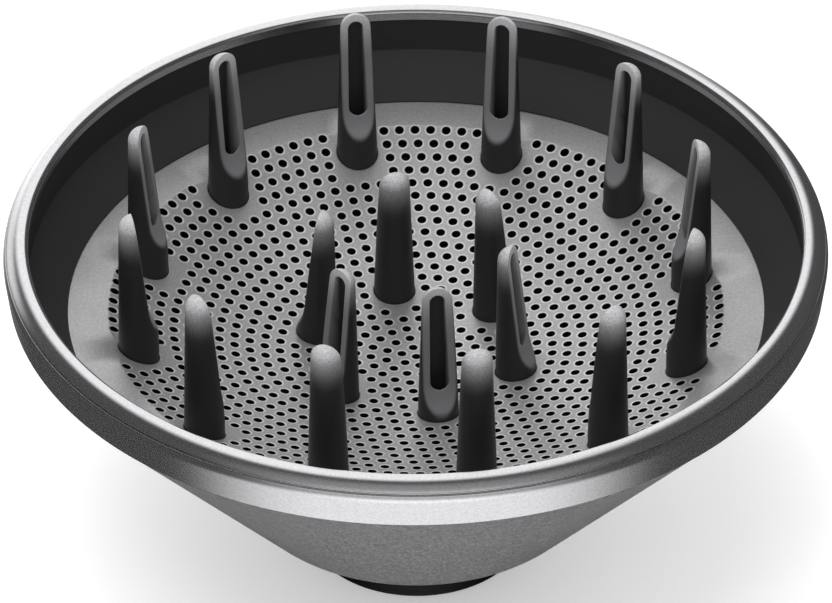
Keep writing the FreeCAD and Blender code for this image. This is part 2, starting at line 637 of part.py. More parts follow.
# Screws: four pan-head screws from below, through bowl and collar into the funnel's bosses.
def make_screws():
    head_top = size("collar_drop") + size("screw_sink")
    screws = []
    for number in range(int(size("screw_count"))):
        angle = 360.0 * number / size("screw_count")
        head = Part.makeCylinder(size("screw_head_radius"), size("screw_head"),
                                 at(screw_circle, angle, head_top - size("screw_head")))
        shank = Part.makeCylinder(size("screw_shank"), size("screw_length"),
                                  at(screw_circle, angle, head_top))
        screws.append(head.fuse(shank))
    return made("collar_screws", Part.makeCompound(screws))


parts = [make_outer_bowl(), make_rim_band(), make_lip_ring(), make_liner(), make_funnel(), make_collar(),
         make_gasket(), make_deflector(), make_plate(), make_retainer(), make_screws()]
parts += make_prongs()
doc.recompute()

for item in doc.Objects:
    if "Invalid" in item.State or "Error" in item.State:
        raise ValueError("%s did not build: %s" % (item.Label, item.State))
for part in parts:
    if part.Shape.isNull() or not part.Shape.isValid():
        raise ValueError("%s has no sound shape" % part.Label)

os.makedirs("parts", exist_ok=True)
for part in parts:
    part.Shape.exportStep("parts/%s.step" % part.Label)
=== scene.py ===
import math

import bpy
import numpy as np
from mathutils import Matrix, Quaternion, Vector
from mathutils.geometry import delaunay_2d_cdt


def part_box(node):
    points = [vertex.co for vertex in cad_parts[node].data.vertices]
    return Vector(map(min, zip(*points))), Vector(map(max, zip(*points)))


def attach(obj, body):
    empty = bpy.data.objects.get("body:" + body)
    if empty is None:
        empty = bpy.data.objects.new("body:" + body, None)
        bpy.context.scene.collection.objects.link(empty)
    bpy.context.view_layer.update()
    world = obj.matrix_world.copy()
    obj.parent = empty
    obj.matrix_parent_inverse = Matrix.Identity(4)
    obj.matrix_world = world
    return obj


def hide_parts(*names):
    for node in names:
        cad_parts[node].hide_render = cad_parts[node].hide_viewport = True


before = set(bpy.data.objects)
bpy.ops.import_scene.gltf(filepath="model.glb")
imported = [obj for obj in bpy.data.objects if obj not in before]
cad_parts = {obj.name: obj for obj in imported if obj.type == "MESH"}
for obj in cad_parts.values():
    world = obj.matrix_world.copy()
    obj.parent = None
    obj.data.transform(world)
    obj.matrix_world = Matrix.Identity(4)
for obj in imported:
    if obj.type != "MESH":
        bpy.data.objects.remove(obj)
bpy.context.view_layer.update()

# Studio: the diffuser stands on a white sheet, under one big soft light high above it. The sheet is
# matte card that glows a little, so that shadows on it stay pale. From below it lets the view through.
MM = 0.001
VIEW_AZIMUTH = -12.0
VIEW_ELEVATION = 36.74
VIEW_ROLL = math.radians(-0.338)
VIEW_DISTANCE = 2.5
VIEW_HEIGHT = 48.61 * MM
LENS = 646.0
SENSOR_WIDTH = 36.0
SIGHT_END = 50.0
FLOOR_SIZE = 6.0
FLOOR_GAP = 0.05 * MM
FLOOR_GLOW = 0.3
LIGHT_AZIMUTH = -60
LIGHT_ELEVATION = 78
LIGHT_DISTANCE = 4.0
LIGHT_SIDE = 3.0
LIGHT_WATTS = 90.0
LIGHT_TARGET = (0, 0, 0.04)


def linear(code):
    """Linear RGBA of an sRGB hex colour such as 8c8c8e."""
    parts = [int(code[i:i + 2], 16) / 255 for i in (0, 2, 4)]
    return [c / 12.92 if c <= 0.04045 else ((c + 0.055) / 1.055) ** 2.4 for c in parts] + [1.0]


def node(material, kind, settings=None, links=None):
    """Adds a shader node: settings name its properties or sockets, links tie its inputs to outputs."""
    made = material.node_tree.nodes.new("ShaderNode" + kind)
    for name, value in (settings or {}).items():
        if isinstance(name, int) or name in made.inputs:
            made.inputs[name].default_value = value
        else:
            setattr(made, name, value)
    for name, source in (links or {}).items():
        material.node_tree.links.new(source, made.inputs[name])
    return made


def new_material(name):
    """An empty node material and its output node."""
    material = bpy.data.materials.new(name)
    material.use_nodes = True
    material.node_tree.nodes.clear()
    return material, node(material, "OutputMaterial")


def toward(azimuth, elevation):
    """Unit direction at degrees round from the front, to +X, and degrees up: (sin, -cos) round, sin up."""
    turn, rise = math.radians(azimuth), math.radians(elevation)
    return Vector((math.sin(turn) * math.cos(rise), -math.cos(turn) * math.cos(rise), math.sin(rise)))


def aim(thing, place, target, roll=0.0):
    """Puts a light or camera at a place, looking at the target, then rolls it about its own axis."""
    way = (Vector(target) - Vector(place)).to_track_quat("-Z", "Y")
    thing.rotation_mode = "QUATERNION"
    thing.location = place
    thing.rotation_quaternion = way @ Quaternion((0, 0, 1), roll)


camera = bpy.data.objects.new("camera", bpy.data.cameras.new("camera"))
camera.data.lens = LENS
camera.data.sensor_width = SENSOR_WIDTH
camera.data.clip_end = SIGHT_END
bpy.context.scene.collection.objects.link(camera)
bpy.context.scene.camera = camera
view_target = Vector((0, 0, VIEW_HEIGHT))
aim(camera, view_target + toward(VIEW_AZIMUTH, VIEW_ELEVATION) * VIEW_DISTANCE, view_target, VIEW_ROLL)

floor_mesh = bpy.data.meshes.new("floor")
half = FLOOR_SIZE / 2
floor_mesh.from_pydata([(-half, -half, -FLOOR_GAP), (half, -half, -FLOOR_GAP), (half, half, -FLOOR_GAP),
                        (-half, half, -FLOOR_GAP)], [], [(0, 1, 2, 3)])
floor = bpy.data.objects.new("floor", floor_mesh)
bpy.context.scene.collection.objects.link(floor)
card, card_out = new_material("white matte card")
card_shade = node(card, "BsdfPrincipled", {"Base Color": linear("f4f4f4"), "Roughness": 1.0,
                  "Specular IOR Level": 0.0, "Emission Color": linear("ffffff"),
                  "Emission Strength": FLOOR_GLOW})
from_below = node(card, "NewGeometry").outputs["Backfacing"]
card_side = node(card, "MixShader", {}, {0: from_below, 1: card_shade.outputs[0],
                 2: node(card, "BsdfTransparent").outputs[0]})
card.node_tree.links.new(card_side.outputs[0], card_out.inputs[0])
floor_mesh.materials.append(card)
floor.visible_glossy = False


light = bpy.data.objects.new("above", bpy.data.lights.new("above", "AREA"))
light.data.size = LIGHT_SIDE
light.data.energy = LIGHT_WATTS
light.visible_glossy = False
bpy.context.scene.collection.objects.link(light)
aim(light, toward(LIGHT_AZIMUTH, LIGHT_ELEVATION) * LIGHT_DISTANCE, LIGHT_TARGET)

# The room, as gloss sees it: a tall white card behind, a bright one low in front, two dim ones higher in
# front and a narrow one behind to the left, in a dark room. Matte surfaces get an even light from all
# round, and the backdrop is plain white.
BACK_CARD_AZIMUTH = 176
BACK_CARD = 1.4
BACK_CARD_SIDES = (0.44, 0.12)
BACK_CARD_FRONT = (0.04, 0.4)
BACK_CARD_FOOT = (-0.66, -0.42)
ROUND_CARDS = [  # azimuth, elevation, full within, gone beyond (all in degrees) and brightness
    (-12, -52, 16, 50, 1.3), (-12, 34, 12, 56, 0.3), (-12, -5, 22, 50, 0.42), (204, 3, 8, 24, 1.1)]
ROOM = 0.07
EVEN_LIGHT = 1.05
BACKDROP = 1.0
sky = bpy.data.worlds.new("studio")
sky.use_nodes = True
sky.node_tree.nodes.clear()
facing = node(sky, "TexCoord").outputs["Generated"]


def along(direction):
    """How far the looked-at direction goes along a unit direction."""
    dot = node(sky, "VectorMath", {"operation": "DOT_PRODUCT", 1: direction}, {0: facing})
    return dot.outputs["Value"]


def ramp(value, start, end, top=1.0):
    """Rises softly from nothing at start to top at end."""
    return node(sky, "MapRange", {"interpolation_type": "SMOOTHSTEP", "From Min": start, "From Max": end,
                "To Max": top}, {"Value": value}).outputs[0]


def combine(operation, first, second):
    """One number worked out from two."""
    return node(sky, "Math", {"operation": operation}, {0: first, 1: second}).outputs[0]


across = node(sky, "Math", {"operation": "ABSOLUTE"}, {0: along(toward(BACK_CARD_AZIMUTH + 90, 0))})
card_light = combine("MULTIPLY", ramp(across.outputs[0], *BACK_CARD_SIDES),
                     ramp(along(toward(BACK_CARD_AZIMUTH, 0)), *BACK_CARD_FRONT))
card_light = combine("MULTIPLY", card_light, ramp(along((0, 0, 1)), *BACK_CARD_FOOT, BACK_CARD))
total = node(sky, "Math", {"operation": "ADD", 1: ROOM}, {0: card_light}).outputs[0]
for azimuth, elevation, inner, outer, brightness in ROUND_CARDS:
    total = combine("ADD", total, ramp(along(toward(azimuth, elevation)), math.cos(math.radians(outer)),
                                       math.cos(math.radians(inner)), brightness))
room = node(sky, "Background", {}, {"Strength": total})
even = node(sky, "Background", {"Strength": EVEN_LIGHT})
plain = node(sky, "Background", {"Strength": BACKDROP})
rays = node(sky, "LightPath")
soft = node(sky, "MixShader", {}, {0: rays.outputs["Is Diffuse Ray"], 1: room.outputs[0],
            2: even.outputs[0]})
which = node(sky, "MixShader", {}, {0: rays.outputs["Is Camera Ray"], 1: soft.outputs[0],
             2: plain.outputs[0]})
node(sky, "OutputWorld", {}, {0: which.outputs[0]})
bpy.context.scene.world = sky
bpy.context.scene.view_settings.view_transform = "Standard"


# Collar: the black tube under the bowl that pushes onto the dryer, moulded in ABS. Its lower edge is
# softly rounded, and inside it has a groove for the gasket and a shoulder behind it.
COLLAR_DROP = 11.1
SOCKET_DEPTH = 11.0
GASKET = 1.2
COLLAR_FLANGE_RADIUS = 26.0
BOWL_FLOOR = 2.5
COLLAR_WALL = 2.3
GASKET_WIDTH = 2.0
GASKET_GROOVE = 0.5
GASKET_PLAY = 0.1
COLLAR_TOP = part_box("collar")[1].z / MM
COLLAR_RADIUS = 18.2
COLLAR_FOOT_ROUND = 0.6
COLLAR_MOUTH_ROUND = 0.3
EDGE = 0.15
FINE_EDGE = 0.05
ARC_STEP = math.radians(9)
ROUND_STEPS = 360
COLLAR_STEPS = 192


def rounded(corners):
    """Closed outline through (radius, height, round) corners and its outward normals.

    Each corner becomes an arc tangent to both sides, of its round as radius. The outline runs
    anticlockwise, radius across and height up, so outward is to the right of each side."""
    corners = np.asarray(corners, float)
    points, normals = [], []
    count = len(corners)
    for i in range(count):
        here, radius = corners[i, :2], corners[i, 2]
        before = here - corners[i - 1, :2]
        after = corners[(i + 1) % count, :2] - here
        u = before / np.linalg.norm(before)
        v = after / np.linalg.norm(after)
        turn = math.atan2(u[0] * v[1] - u[1] * v[0], u @ v)
        reach = radius * abs(math.tan(turn / 2))
        way = 1.0 if turn > 0 else -1.0
        inward = np.array([-u[1], u[0]]) * way
        centre = here - u * reach + inward * radius
        steps = max(3, int(abs(turn) / ARC_STEP) + 2)
        sweep = np.linspace(0, turn, steps)
        start = -inward
        spin = np.stack([np.cos(sweep) * start[0] - np.sin(sweep) * start[1],
                         np.sin(sweep) * start[0] + np.cos(sweep) * start[1]], 1)
        points.append(centre + spin * radius)
        normals.append(spin * way)
    return np.concatenate(points), np.concatenate(normals)


def grid_faces(rows, columns, wrap_rows=False):
    """Quads of a grid whose columns close on themselves, and whose rows do too if wrap_rows."""
    last = rows if wrap_rows else rows - 1
    i, j = np.meshgrid(np.arange(last), np.arange(columns), indexing="ij")
    i, j = i.ravel(), j.ravel()
    below, beside = (i + 1) % rows, (j + 1) % columns
    return np.stack([i * columns + j, i * columns + beside, below * columns + beside,
                     below * columns + j], 1)


def piece(name, places, faces, material, replaced, normals=None, smooth=True):
    """A mesh object in metres from places in millimetres, riding on the one body."""
    mesh = bpy.data.meshes.new(name)
    mesh.from_pydata(np.asarray(places, float) * MM, [], [list(map(int, f)) for f in faces])
    mesh.polygons.foreach_set("use_smooth", np.full(len(mesh.polygons), smooth))
    mesh.update()
    if normals is not None:
        mesh.normals_split_custom_set_from_vertices(np.asarray(normals, float))
    made = bpy.data.objects.new(name, mesh)
    bpy.context.scene.collection.objects.link(made)
    mesh.materials.append(material)
    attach(made, "root")
    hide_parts(*replaced)
    return made


def turned(name, corners, material, node_name, around=ROUND_STEPS):
    """A closed outline turned round Z: (radius, height) at turn a goes to radius cos a, radius sin a."""
    outline, outward = rounded(corners)
    turn = 2 * np.pi * np.arange(around) / around
    ring = np.stack([np.cos(turn), np.sin(turn)], 1)
    places = np.empty((len(outline), around, 3))
    places[..., :2] = outline[:, 0, None, None] * ring
    places[..., 2] = outline[:, 1, None]
    normals = np.empty_like(places)
    normals[..., :2] = outward[:, 0, None, None] * ring
    normals[..., 2] = outward[:, 1, None]
    faces = grid_faces(len(outline), around, wrap_rows=True)
    return piece(name, places.reshape(-1, 3), faces, material, [node_name],
                 normals.reshape(-1, 3))


MOULD_CLOUD = 14
MOULD_SPREAD = 0.15
MOULD_GLOSS = 0.05
MOULD_RELIEF = 0.05


def shaded(colour, change):
    """A colour made lighter by a share of itself, or darker if the share is negative."""
    return [min(1.0, c * (1 + change)) for c in colour[:3]] + [1.0]


def moulded(name, colour, roughness, grain_mm, relief, specular=0.5):
    """Moulded plastic: a fine pebbled skin of the given grain, with slight unevenness in the gloss.

    It gives the eye a matte, faintly speckled surface that catches light only at its edges."""
    material, out = new_material(name)
    where = node(material, "TexCoord").outputs["Object"]
    grain = node(material, "TexNoise", {"Scale": 1 / (grain_mm * MM), "Detail": 2.0, "Roughness": 0.6},
                 {"Vector": where})
    broad = node(material, "TexNoise", {"Scale": 1 / (MOULD_CLOUD * MM), "Detail": 3.0},
                 {"Vector": where})
    shade = node(material, "MixRGB", {1: shaded(colour, -MOULD_SPREAD), 2: shaded(colour, MOULD_SPREAD)},
                 {0: grain.outputs["Fac"]})
    gloss = node(material, "MapRange", {"To Min": roughness - MOULD_GLOSS, "To Max": roughness + MOULD_GLOSS,
                 "From Min": 0.3, "From Max": 0.7}, {"Value": broad.outputs["Fac"]})
    bump = node(material, "Bump", {"Strength": relief, "Distance": MOULD_RELIEF * MM},
                {"Height": grain.outputs["Fac"]})
    skin = node(material, "BsdfPrincipled", {"IOR": 1.5, "Specular IOR Level": specular},
                {"Base Color": shade.outputs[0], "Roughness": gloss.outputs[0], "Normal": bump.outputs[0]})
    material.node_tree.links.new(skin.outputs[0], out.inputs[0])
    return material


BLACK_ABS = moulded("black ABS", linear("070707"), 0.5, 0.35, 0.2, 0.15)
collar_inside = COLLAR_RADIUS - COLLAR_WALL
shoulder = SOCKET_DEPTH + GASKET + GASKET_PLAY
groove = collar_inside + GASKET_GROOVE
turned("collar_tube", [
    (collar_inside, 0, COLLAR_MOUTH_ROUND), (COLLAR_RADIUS, 0, COLLAR_FOOT_ROUND),
    (COLLAR_RADIUS, COLLAR_DROP + BOWL_FLOOR, EDGE),
    (COLLAR_FLANGE_RADIUS, COLLAR_DROP + BOWL_FLOOR, EDGE), (COLLAR_FLANGE_RADIUS, COLLAR_TOP, EDGE),
    (collar_inside - GASKET_WIDTH, COLLAR_TOP, EDGE), (collar_inside - GASKET_WIDTH, shoulder, EDGE),
    (groove, shoulder, FINE_EDGE), (groove, SOCKET_DEPTH, FINE_EDGE),
    (collar_inside, SOCKET_DEPTH, EDGE)], BLACK_ABS, "collar", COLLAR_STEPS)


# Outer bowl: an injection-moulded ABS cone, sprayed satin metallic grey. Fine aluminium flakes in the
# paint give it a grainy glitter where light grazes it.
BOWL_FOOT_RADIUS = 29.5
BOWL_FOOT_ROUND = 3.0
BOWL_WALL = 1.8
BAND_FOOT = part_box("rim_band")[0].z / MM
REBATE_HEIGHT = 3.5
RIM_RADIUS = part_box("rim_band")[1].x / MM
BAND_TAPER = 0.8
BAND_WALL = 0.9
BOWL_STEP = 0.3
REBATE_WALL = 1.2
SCREWS = 4
SCREW_CIRCLE = 22.3
RECESS_RADIUS = 2.3
RECESS_DEPTH = 1.4
RECESS_SIDES = 64
FLOOR_RING_RADIUS = 26.0
FLOOR_RING_SIDES = 192
FLOOR_RING_EDGE = 0.01
BOWL_INNER_ROUND = 0.5
PEEL_WIDTH = 1.6
FLAKE_RELIEF = 0.03
band_foot_radius = RIM_RADIUS - BAND_TAPER
rebate_radius = band_foot_radius - BAND_WALL
liner_outside = rebate_radius - REBATE_WALL
bowl_top_radius = band_foot_radius - BOWL_STEP
floor_top = COLLAR_DROP + BOWL_FLOOR
bowl_lean = (bowl_top_radius - BOWL_FOOT_RADIUS) / (BAND_FOOT - COLLAR_DROP)
inner_foot = BOWL_FOOT_RADIUS + BOWL_FLOOR * bowl_lean - BOWL_WALL


def flake_paint(name, colour, metallic, roughness, flake_mm, glitter, relief):
    """Satin metallic paint: flakes of the given size, each a little lighter or darker and tilted.

    Real flakes are some 0.03 mm across, too fine to show, so these are drawn about ten times as coarse.
    They give the eye a grainy sheen that runs bright and dark round the cone."""
    material, out = new_material(name)
    where = node(material, "TexCoord").outputs["Object"]
    flakes = node(material, "TexVoronoi", {"Scale": 1 / (flake_mm * MM)}, {"Vector": where})
    value = node(material, "SeparateColor", {}, {"Color": flakes.outputs["Color"]}).outputs[0]
    orange_peel = node(material, "TexNoise", {"Scale": 1 / (PEEL_WIDTH * MM), "Detail": 2.0},
                       {"Vector": where})
    shade = node(material, "MixRGB", {1: shaded(colour, -glitter), 2: shaded(colour, glitter)}, {0: value})
    height = node(material, "Math", {"operation": "MULTIPLY_ADD", 1: 0.6},
                  {0: value, 2: orange_peel.outputs["Fac"]})
    bump = node(material, "Bump", {"Strength": relief, "Distance": FLAKE_RELIEF * MM},
                {"Height": height.outputs[0]})
    gloss = node(material, "MapRange", {"To Min": roughness * (1 - glitter / 2),
                 "To Max": roughness * (1 + glitter / 2)}, {"Value": value})
    skin = node(material, "BsdfPrincipled", {"Metallic": metallic, "IOR": 1.5},
                {"Base Color": shade.outputs[0], "Roughness": gloss.outputs[0], "Normal": bump.outputs[0]})
    material.node_tree.links.new(skin.outputs[0], out.inputs[0])
    return material


def circle(middle, radius, sides):
    """Corners of a regular polygon round a middle."""
    turn = 2 * np.pi * np.arange(sides) / sides
    return np.asarray(middle) + radius * np.stack([np.cos(turn), np.sin(turn)], 1)


def make_sunk_floor(name, material):
    """The bowl's floor: a flat ring from the collar's hole out, with round recesses in its underside.

    The underside is a Delaunay mesh of all the circles, less every triangle whose middle is nearer to a
    hole's axis than radius (1 - 1.7 (1 - cos(pi / sides))), which is just inside the hole's sides."""
    turn = 2 * np.pi * np.arange(SCREWS) / SCREWS
    axes = SCREW_CIRCLE * np.stack([np.cos(turn), np.sin(turn)], 1)
    outlines = [circle((0, 0), FLOOR_RING_RADIUS, FLOOR_RING_SIDES),
                circle((0, 0), COLLAR_RADIUS, FLOOR_RING_SIDES)]
    outlines += [circle(axis, RECESS_RADIUS, RECESS_SIDES) for axis in axes]
    starts = np.cumsum([0] + [len(outline) for outline in outlines])
    flat = np.concatenate(outlines)
    loops = [start + np.arange(len(outline)) for start, outline in zip(starts, outlines)]
    edges = [pair for loop in loops for pair in zip(loop.tolist(), np.roll(loop, -1).tolist())]
    found = delaunay_2d_cdt([Vector(p) for p in flat], edges, [], 0, 1e-6)
    assert len(found[0]) == len(flat)
    triangles = np.asarray(found[2])
    middles = flat[triangles].mean(1)
    holes = [((0, 0), COLLAR_RADIUS, FLOOR_RING_SIDES)]
    holes += [(axis, RECESS_RADIUS, RECESS_SIDES) for axis in axes]
    kept = np.ones(len(triangles), bool)
    for axis, radius, sides in holes:
        limit = radius * (1 - 1.7 * (1 - math.cos(math.pi / sides)))
        kept &= np.linalg.norm(middles - np.asarray(axis), axis=1) > limit
    faces = triangles[kept][:, ::-1].tolist()
    upper = len(flat) + np.arange(len(flat))
    heights = np.full(2 * len(flat), COLLAR_DROP)
    heights[len(flat):] = COLLAR_DROP + RECESS_DEPTH
    heights[upper[:2 * FLOOR_RING_SIDES]] = floor_top
    for number, loop in enumerate(loops):
        beside = np.roll(loop, -1)
        wall = np.stack([loop, beside, upper[beside], upper[loop]], 1)
        faces += (wall if number == 0 else wall[:, [1, 0, 3, 2]]).tolist()
        if number > 1:
            faces.append(upper[loop][::-1].tolist())
    outer, inner = upper[loops[0]], upper[loops[1]]
    faces += np.stack([inner, outer, np.roll(outer, -1), np.roll(inner, -1)], 1).tolist()
    places = np.column_stack([np.concatenate([flat, flat]), heights])
    return piece(name, places, faces, material, ["outer_bowl"], smooth=False)


BOWL_PAINT = flake_paint("satin metallic grey paint", linear("cacacc"), 0.78, 0.4, 0.3, 0.34, 0.12)
turned("outer_bowl_shell", [
    (FLOOR_RING_RADIUS, COLLAR_DROP, FLOOR_RING_EDGE), (BOWL_FOOT_RADIUS, COLLAR_DROP, BOWL_FOOT_ROUND),
    (bowl_top_radius, BAND_FOOT, EDGE), (rebate_radius, BAND_FOOT, FINE_EDGE),
    (rebate_radius, BAND_FOOT + REBATE_HEIGHT, EDGE), (liner_outside, BAND_FOOT + REBATE_HEIGHT, EDGE),
    (liner_outside, BAND_FOOT, EDGE), (inner_foot, floor_top, BOWL_INNER_ROUND),
    (FLOOR_RING_RADIUS, floor_top, FLOOR_RING_EDGE)], BOWL_PAINT, "outer_bowl")
make_sunk_floor("outer_bowl_floor", BOWL_PAINT)


# Rim: the band and the lip ring above it are separate mouldings in a lighter metallic grey. They meet
# at a fine seam below the rim's round top.
BEAD = 3.5
SEAM_DROP = 1.9
LIP_OVERHANG = 0.2
LINER_WALL = 1.2
SEAM_EASE = 0.22
RIM_EDGE = 0.1
BAND_FOOT_ROUND = 0.3
BAND_ROUND = 0.7 * BEAD
LIP_ROUND = 0.86 * BEAD
LIP_INNER_ROUND = 0.7
RIM_STEPS = 480
LIP_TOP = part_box("lip_ring")[1].z / MM
seam = LIP_TOP - SEAM_DROP
crown_radius = RIM_RADIUS - BEAD
liner_radius = liner_outside - LINER_WALL
lip_inside = liner_radius - LIP_OVERHANG
RIM_PAINT = flake_paint("light satin metallic paint", linear("dcdcde"), 0.97, 0.2, 0.3, 0.05, 0.0)
bead_drop = BEAD - SEAM_DROP
seam_radius = crown_radius + math.sqrt(BEAD ** 2 - bead_drop ** 2)
tangent = bead_drop / (seam_radius - crown_radius)
turned("rim_band_ring", [
    (rebate_radius, BAND_FOOT, RIM_EDGE), (band_foot_radius, BAND_FOOT, BAND_FOOT_ROUND),
    (RIM_RADIUS, seam - (RIM_RADIUS - seam_radius) / tangent, BAND_ROUND),
    (seam_radius, seam, SEAM_EASE), (rebate_radius, seam, RIM_EDGE)],
    RIM_PAINT, "rim_band", RIM_STEPS)
turned("lip_ring_bead", [
    (lip_inside, seam, RIM_EDGE), (liner_outside, seam, FINE_EDGE),
    (liner_outside, BAND_FOOT + REBATE_HEIGHT, RIM_EDGE),
    (rebate_radius, BAND_FOOT + REBATE_HEIGHT, RIM_EDGE),
    (rebate_radius, seam, FINE_EDGE), (seam_radius, seam, SEAM_EASE),
    (seam_radius - SEAM_DROP * tangent, LIP_TOP, LIP_ROUND), (lip_inside, LIP_TOP, LIP_INNER_ROUND)],
    RIM_PAINT, "lip_ring", RIM_STEPS)


# Liner: the dark inner wall, moulded in charcoal ABS with a fine matte skin. It is upright under the
# lip and then runs in as a cone that holds the plate's edge down.
LINER_HEIGHT = 6.3
LINER_RUN = 6.9
LINER_FOOT_ROUND = 0.2
LINER_BACK_ROUND = 0.3
LINER_CREASE_ROUND = 0.35
PLATE_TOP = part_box("perforated_plate")[1].z / MM
crease = seam - LINER_HEIGHT
plate_edge = liner_radius - LINER_RUN
LINER_ABS = moulded("charcoal ABS", linear("2e2e2f"), 0.5, 0.35, 0.3, 0.35)
turned("liner_wall", [
    (plate_edge, PLATE_TOP, LINER_FOOT_ROUND), (plate_edge + LINER_WALL, PLATE_TOP, RIM_EDGE),
    (liner_outside, crease, LINER_BACK_ROUND), (liner_outside, seam, RIM_EDGE),
    (liner_radius, seam, RIM_EDGE), (liner_radius, crease, LINER_CREASE_ROUND)],
    LINER_ABS, "liner")


# Perforated plate: aluminium sheet, punched in rings of holes, dished in a press and bead-blasted.
# Each hole's edge is eased. A thin ring round each small hole has a painted highlight, and its wall has
# painted shade. Prongs come up through eighteen larger holes.
SHEET = 1.0
PLATE_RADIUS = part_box("perforated_plate")[1].x / MM
PLATE_FLANGE = 6.45
DISH_SPHERE = 133.0
HOLE_RADIUS = 0.725
HOLE_PITCH = 2.54
HOLE_KEEP_OFF = 5.1
HOLE_EASE = 0.06
EDGE_RING_WIDTH = 0.42
EDGE_RING_FADE = 0.22
HOLE_SIDES = 14
PRONG_HOLE_SIDES = 40
RIM_SIDES = 360
EDGE_RINGS = [  # out from the hole's wall, down into the sheet, lean of the normal in degrees, painted light mark (1 painted highlight, -1 painted shade)
    (EDGE_RING_WIDTH - EDGE_RING_FADE, 0.0, 0, 1), (HOLE_EASE, 0.0, 25, 1), (0.0, HOLE_EASE, 65, -1),
    (0.0, SHEET - 0.02, 90, -1)]
RAY_TURN = 30
STEM_GAP = 0.1
FOOT_RADIUS = 3.4
dish_radius = plate_edge - PLATE_FLANGE
sphere_height = PLATE_TOP + math.sqrt(DISH_SPHERE ** 2 - dish_radius ** 2)
OUTER_RING = 47.35
INNER_RING = 17.5
PRONGS = [("outer_prong_%02d" % (n + 1), OUTER_RING, math.radians(30.0 * n)) for n in range(12)]
PRONGS += [("inner_prong_%d" % (n + 1), INNER_RING, math.radians(RAY_TURN + 60.0 * n)) for n in range(6)]


def plate_height(distance, drop=0.0):
    """Height of the plate's upper side at distances from the axis; drop goes down into the sheet."""
    bowl = sphere_height - np.sqrt((DISH_SPHERE + drop) ** 2 - distance ** 2)
    return np.where(distance < dish_radius, bowl, PLATE_TOP - drop)


def make_plate():
    """The sheet between its outlines is triangulated once and laid on both sides; rings join them.

    Holes stand in rings, 6 n in the nth, at n times the pitch from the axis. Every outline has the edge
    rings going down from the top side, and the last ring of its wall is shared with the underside."""
    feet = np.array([[r * math.cos(a), r * math.sin(a)] for _, r, a in PRONGS])
    middles = [[0.0, 0.0]]
    for ring in range(1, int((dish_radius - HOLE_RADIUS) / HOLE_PITCH) + 1):
        turn = np.radians(RAY_TURN + np.arange(6 * ring) * 60 / ring)
        middles += list(np.stack([np.cos(turn), np.sin(turn)], 1) * ring * HOLE_PITCH)
    middles = np.array(middles)
    gaps = np.linalg.norm(middles[:, None] - feet[None], axis=2).min(1)
    middles = middles[gaps > HOLE_KEEP_OFF]
    openings = [(m, HOLE_RADIUS, HOLE_SIDES, 1) for m in middles]
    openings += [(f, FOOT_RADIUS + STEM_GAP, PRONG_HOLE_SIDES, 1) for f in feet]
    openings.append((np.zeros(2), PLATE_RADIUS, RIM_SIDES, -1))
    flat, edges = [], []
    count = 0
    for middle, radius, sides, way in openings:
        flat.append(circle(middle, radius + way * EDGE_RING_WIDTH, sides))
        index = np.arange(sides) + count
        edges += list(zip(index.tolist(), np.roll(index, -1).tolist()))
        count += sides
    flat = np.concatenate(flat)
    found = delaunay_2d_cdt([Vector(p) for p in flat], edges, [], 0, 1e-7)
    triangles = np.array(found[2])
    centres = flat[triangles].mean(1)
    solid = np.linalg.norm(centres, axis=1) < PLATE_RADIUS
    for middle, radius, sides, way in openings[:-1]:
        near = np.linalg.norm(centres - middle, axis=1)
        solid &= near > (radius + EDGE_RING_WIDTH) * math.cos(math.pi / sides)
    triangles = triangles[solid]
    a, b, c = (flat[triangles[:, k]] for k in range(3))
    turning = (b[:, 0] - a[:, 0]) * (c[:, 1] - a[:, 1]) - (b[:, 1] - a[:, 1]) * (c[:, 0] - a[:, 0])
    triangles[turning < 0] = triangles[turning < 0][:, ::-1]

    def laid(points, drop):
        """Places on the upper side, or so far down into the sheet."""
        distance = np.linalg.norm(points, axis=1)
        return np.column_stack([points, plate_height(distance, drop)])

    def upward(points):
        """Unit normals of the upper side: towards the dish's centre inside it, straight up on its border."""
        distance = np.linalg.norm(points, axis=1)
        tilt = np.where(distance < dish_radius, distance / DISH_SPHERE, 0.0)
        around = points / np.maximum(distance, 1e-9)[:, None]
        return np.column_stack([-around * tilt[:, None], np.sqrt(1 - tilt ** 2)])

    places = [laid(flat, 0.0), laid(flat, SHEET)]
    normals = [upward(flat), -upward(flat)]
    bright = [np.zeros(count), np.zeros(count)]
    faces = [triangles, triangles[:, ::-1] + count]
    total = 2 * count
    start = 0
    for middle, radius, sides, way in openings:
        inward = -way * (circle(middle, 1.0, sides) - middle)
        lift = upward(circle(middle, radius, sides))
        rings = [np.arange(sides) + start]
        for reach, depth, lean, shine in EDGE_RINGS:
            turn = math.radians(lean)
            places.append(laid(circle(middle, radius + way * reach, sides), depth))
            normals.append(np.column_stack([inward * math.sin(turn), np.zeros(sides)])
                           + lift * math.cos(turn))
            # Only the small holes carry painted light: a painted highlight on the top rings and painted
            # shade down the wall.
            bright.append(np.full(sides, float(shine if radius < FOOT_RADIUS else 0)))
            rings.append(np.arange(sides) + total)
            total += sides
        rings.append(np.arange(sides) + start + count)
        for upper, lower in zip(rings[:-1], rings[1:]):
            quads = np.stack([upper, lower, np.roll(lower, -1), np.roll(upper, -1)], 1)
            faces.append(quads[:, ::-1] if way > 0 else quads)
        start += sides
    made = piece("plate_sheet", np.concatenate(places), [f for part in faces for f in part.tolist()],
                 PLATE_METAL, ["perforated_plate"], np.concatenate(normals))
    hole_light_mark = made.data.attributes.new("hole_highlight_and_wall_shade", "FLOAT", "POINT")
    hole_light_mark.data.foreach_set("value", np.concatenate(bright).astype(np.float32))
    return made


BLAST_GRAIN = 0.34
BLAST_CLOUD = 9
BLAST_RELIEF = 0.03


